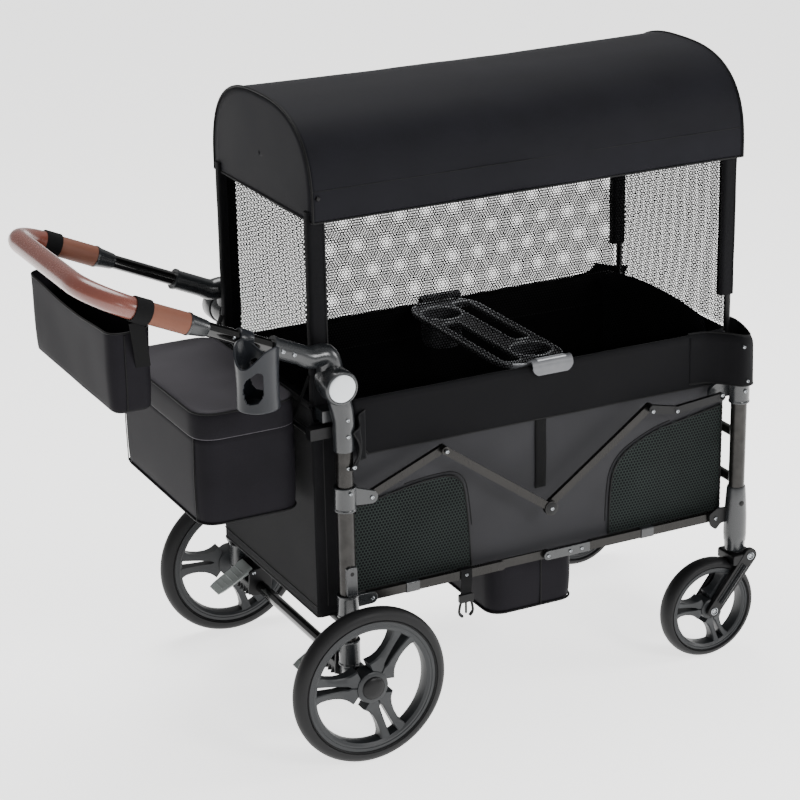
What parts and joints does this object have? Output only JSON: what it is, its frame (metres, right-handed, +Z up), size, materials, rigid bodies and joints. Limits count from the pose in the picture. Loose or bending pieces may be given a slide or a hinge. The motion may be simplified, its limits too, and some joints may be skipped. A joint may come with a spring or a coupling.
{
  "type": "folding wagon",
  "caption": "Folding pull wagon for two small children, with a canopy, netting, swivel casters, a tilting pull handle, bags and a cup tray.",
  "frame": {"origin": "on the ground, under the middle of the wagon's bounding box at rest", "axes": "+X towards the swivel casters, away from the handle; +Y to the wagon's left; +Z up"},
  "size_m": [1.2852, 0.64, 1.134],
  "materials": {
    "tube": "gunmetal powder coat, light wear on edges",
    "plastic": "moulded, fine grain",
    "button": "smooth light silver",
    "pedal": "moulded light grey",
    "tyre": "matt, moulded ribs",
    "rim": "moulded, satin",
    "bolt": "polished dome heads",
    "fabric": "tight black weave",
    "panel_fabric": "charcoal weave",
    "mesh": "open netting",
    "grip": "rose-brown leather, glossy at the front bar"
  },
  "bodies": {
    "rear_frame": {"rear_legs": "tube", "hub_sockets": "plastic", "rear_axle": "tube", "rear_crossbars": "tube", "rear_brackets": "plastic", "leg_bolts": "bolt", "brake_housings": "plastic", "brake_cable": "tyre", "rear_panel": "fabric", "rear_curtain": "mesh", "rear_poles": "tube", "side_panels": "panel_fabric", "rim_bands": "fabric", "floor_panel": "fabric", "footwell": "fabric", "seat_cushions": "fabric", "canopy_roof": "fabric", "side_curtains": "mesh", "storage_box": "fabric"},
    "front_frame": {"front_legs": "tube", "front_collars": "plastic", "front_sockets": "plastic", "front_crossbars": "tube", "front_panel": "fabric", "front_curtain": "mesh", "front_poles": "tube"},
    "handle": {"handle_arms": "tube", "handle_elbows": "plastic", "handle_grip": "grip", "handle_bag": "fabric", "cup_holder": "plastic"},
    "box_lid": {"box_lid": "fabric"},
    "tray": {"tray": "plastic"},
    "link_rear_l": {"link_rear_l": "tube"},
    "link_long_rear_l": {"link_long_rear_l": "tube"},
    "link_front_l": {"link_front_l": "plastic"},
    "link_long_front_l": {"link_long_front_l": "tube"},
    "rail_rear_l": {"rail_rear_l": "tube"},
    "rail_front_l": {"rail_front_l": "tube"},
    "hub_button_l": {"hub_button_l": "button"},
    "brake_pedal_l": {"brake_pedal_l": "pedal"},
    "rear_wheel_l": {"tyre_rear_l": "tyre", "rim_rear_l": "rim"},
    "caster_l": {"caster_fork_l": "plastic"},
    "front_wheel_l": {"tyre_front_l": "tyre", "rim_front_l": "rim"},
    "link_rear_r": {"link_rear_r": "tube"},
    "link_long_rear_r": {"link_long_rear_r": "tube"},
    "link_front_r": {"link_front_r": "plastic"},
    "link_long_front_r": {"link_long_front_r": "tube"},
    "rail_rear_r": {"rail_rear_r": "tube", "buckle_strap": "plastic"},
    "rail_front_r": {"rail_front_r": "tube"},
    "hub_button_r": {"hub_button_r": "button"},
    "brake_pedal_r": {"brake_pedal_r": "pedal"},
    "rear_wheel_r": {"tyre_rear_r": "tyre", "rim_rear_r": "rim"},
    "caster_r": {"caster_fork_r": "plastic"},
    "front_wheel_r": {"tyre_front_r": "tyre", "rim_front_r": "rim"}
  },
  "joints": [
    {"name": "fold", "type": "slide", "parent": "rear_frame", "child": "front_frame", "axis": [-1, 0, 0], "range_m": [0, 0.46], "deforming": ["side_panels", "rim_bands", "floor_panel", "footwell", "seat_cushions", "canopy_roof", "side_curtains"]},
    {"name": "link_rear_l", "type": "hinge", "parent": "rear_frame", "child": "link_rear_l", "pos_m": [-0.15441, 0.2355, 0.467], "axis": [0, -1, 0], "range_deg": [0, 52.5]},
    {"name": "link_long_rear_l", "type": "hinge", "parent": "link_rear_l", "child": "link_long_rear_l", "pos_m": [-0.01141, 0.2355, 0.525], "axis": [0, 1, 0], "range_deg": [0, 71.36]},
    {"name": "link_front_l", "type": "hinge", "parent": "front_frame", "child": "link_front_l", "pos_m": [0.55959, 0.2355, 0.519], "axis": [0, 1, 0], "range_deg": [0, 72.5]},
    {"name": "link_long_front_l", "type": "hinge", "parent": "link_front_l", "child": "link_long_front_l", "pos_m": [0.41059, 0.2355, 0.523], "axis": [0, -1, 0], "range_deg": [0, 123.15]},
    {"name": "rail_rear_l", "type": "hinge", "parent": "rear_frame", "child": "rail_rear_l", "pos_m": [-0.15341, 0.2355, 0.273], "axis": [0, -1, 0], "range_deg": [0, 69.61]},
    {"name": "rail_front_l", "type": "hinge", "parent": "front_frame", "child": "rail_front_l", "pos_m": [0.56159, 0.2355, 0.273], "axis": [0, 1, 0], "range_deg": [0, 69.61]},
    {"name": "link_rear_r", "type": "hinge", "parent": "rear_frame", "child": "link_rear_r", "pos_m": [-0.15441, -0.2355, 0.467], "axis": [0, -1, 0], "range_deg": [0, 52.5]},
    {"name": "link_long_rear_r", "type": "hinge", "parent": "link_rear_r", "child": "link_long_rear_r", "pos_m": [-0.01141, -0.2355, 0.525], "axis": [0, 1, 0], "range_deg": [0, 71.36]},
    {"name": "link_front_r", "type": "hinge", "parent": "front_frame", "child": "link_front_r", "pos_m": [0.55959, -0.2355, 0.519], "axis": [0, 1, 0], "range_deg": [0, 72.5]},
    {"name": "link_long_front_r", "type": "hinge", "parent": "link_front_r", "child": "link_long_front_r", "pos_m": [0.41059, -0.2355, 0.523], "axis": [0, -1, 0], "range_deg": [0, 123.15]},
    {"name": "rail_rear_r", "type": "hinge", "parent": "rear_frame", "child": "rail_rear_r", "pos_m": [-0.15341, -0.2355, 0.273], "axis": [0, -1, 0], "range_deg": [0, 69.61]},
    {"name": "rail_front_r", "type": "hinge", "parent": "front_frame", "child": "rail_front_r", "pos_m": [0.56159, -0.2355, 0.273], "axis": [0, 1, 0], "range_deg": [0, 69.61]},
    {"name": "tray_slide", "type": "slide", "parent": "rear_frame", "child": "tray", "axis": [-1, 0, 0], "range_m": [0, 0.231]},
    {"name": "handle_tilt", "type": "hinge", "parent": "rear_frame", "child": "handle", "pos_m": [-0.21441, 0, 0.682], "axis": [0, 1, 0], "range_deg": [-25, 45]},
    {"name": "box_lid", "type": "hinge", "parent": "rear_frame", "child": "box_lid", "pos_m": [-0.25841, 0, 0.6515], "axis": [0, 1, 0], "range_deg": [0, 90]},
    {"name": "rear_wheel_l", "type": "hinge", "parent": "rear_frame", "child": "rear_wheel_l", "pos_m": [-0.19541, 0.303, 0.145], "axis": [0, 1, 0], "continuous": true},
    {"name": "caster_swivel_l", "type": "hinge", "parent": "front_frame", "child": "caster_l", "pos_m": [0.60459, 0.239, 0.204], "axis": [0, 0, 1], "continuous": true},
    {"name": "front_wheel_l", "type": "hinge", "parent": "caster_l", "child": "front_wheel_l", "pos_m": [0.54459, 0.239, 0.098], "axis": [0, 1, 0], "continuous": true},
    {"name": "hub_button_l", "type": "slide", "parent": "rear_frame", "child": "hub_button_l", "axis": [0, -1, 0], "range_m": [0, 0.0035], "stiffness_N_per_m": 800},
    {"name": "brake_pedal_l", "type": "hinge", "parent": "rear_frame", "child": "brake_pedal_l", "pos_m": [-0.20941, 0.188, 0.176], "axis": [0, -1, 0], "range_deg": [0, 18]},
    {"name": "rear_wheel_r", "type": "hinge", "parent": "rear_frame", "child": "rear_wheel_r", "pos_m": [-0.19541, -0.303, 0.145], "axis": [0, 1, 0], "continuous": true},
    {"name": "caster_swivel_r", "type": "hinge", "parent": "front_frame", "child": "caster_r", "pos_m": [0.60459, -0.239, 0.204], "axis": [0, 0, 1], "continuous": true},
    {"name": "front_wheel_r", "type": "hinge", "parent": "caster_r", "child": "front_wheel_r", "pos_m": [0.54459, -0.239, 0.098], "axis": [0, 1, 0], "continuous": true},
    {"name": "hub_button_r", "type": "slide", "parent": "rear_frame", "child": "hub_button_r", "axis": [0, 1, 0], "range_m": [0, 0.0035], "stiffness_N_per_m": 800},
    {"name": "brake_pedal_r", "type": "hinge", "parent": "rear_frame", "child": "brake_pedal_r", "pos_m": [-0.20941, -0.188, 0.176], "axis": [0, -1, 0], "range_deg": [0, 18]}
  ],
  "couplings": [
    {"joint": "link_rear_l", "follows": "fold", "rad_per_m": 1.973},
    {"joint": "link_long_rear_l", "follows": "fold", "rad_per_m": 2.6884},
    {"joint": "link_front_l", "follows": "fold", "rad_per_m": 2.7318},
    {"joint": "link_long_front_l", "follows": "fold", "rad_per_m": 4.6537},
    {"joint": "rail_rear_l", "follows": "fold", "rad_per_m": 2.622},
    {"joint": "rail_front_l", "follows": "fold", "rad_per_m": 2.622},
    {"joint": "link_rear_r", "follows": "fold", "rad_per_m": 1.973},
    {"joint": "link_long_rear_r", "follows": "fold", "rad_per_m": 2.6884},
    {"joint": "link_front_r", "follows": "fold", "rad_per_m": 2.7318},
    {"joint": "link_long_front_r", "follows": "fold", "rad_per_m": 4.6537},
    {"joint": "rail_rear_r", "follows": "fold", "rad_per_m": 2.622},
    {"joint": "rail_front_r", "follows": "fold", "rad_per_m": 2.622},
    {"joint": "tray_slide", "follows": "fold", "ratio": 0.5},
    {"joint": "brake_pedal_r", "follows": "brake_pedal_l", "ratio": 1}
  ]
}
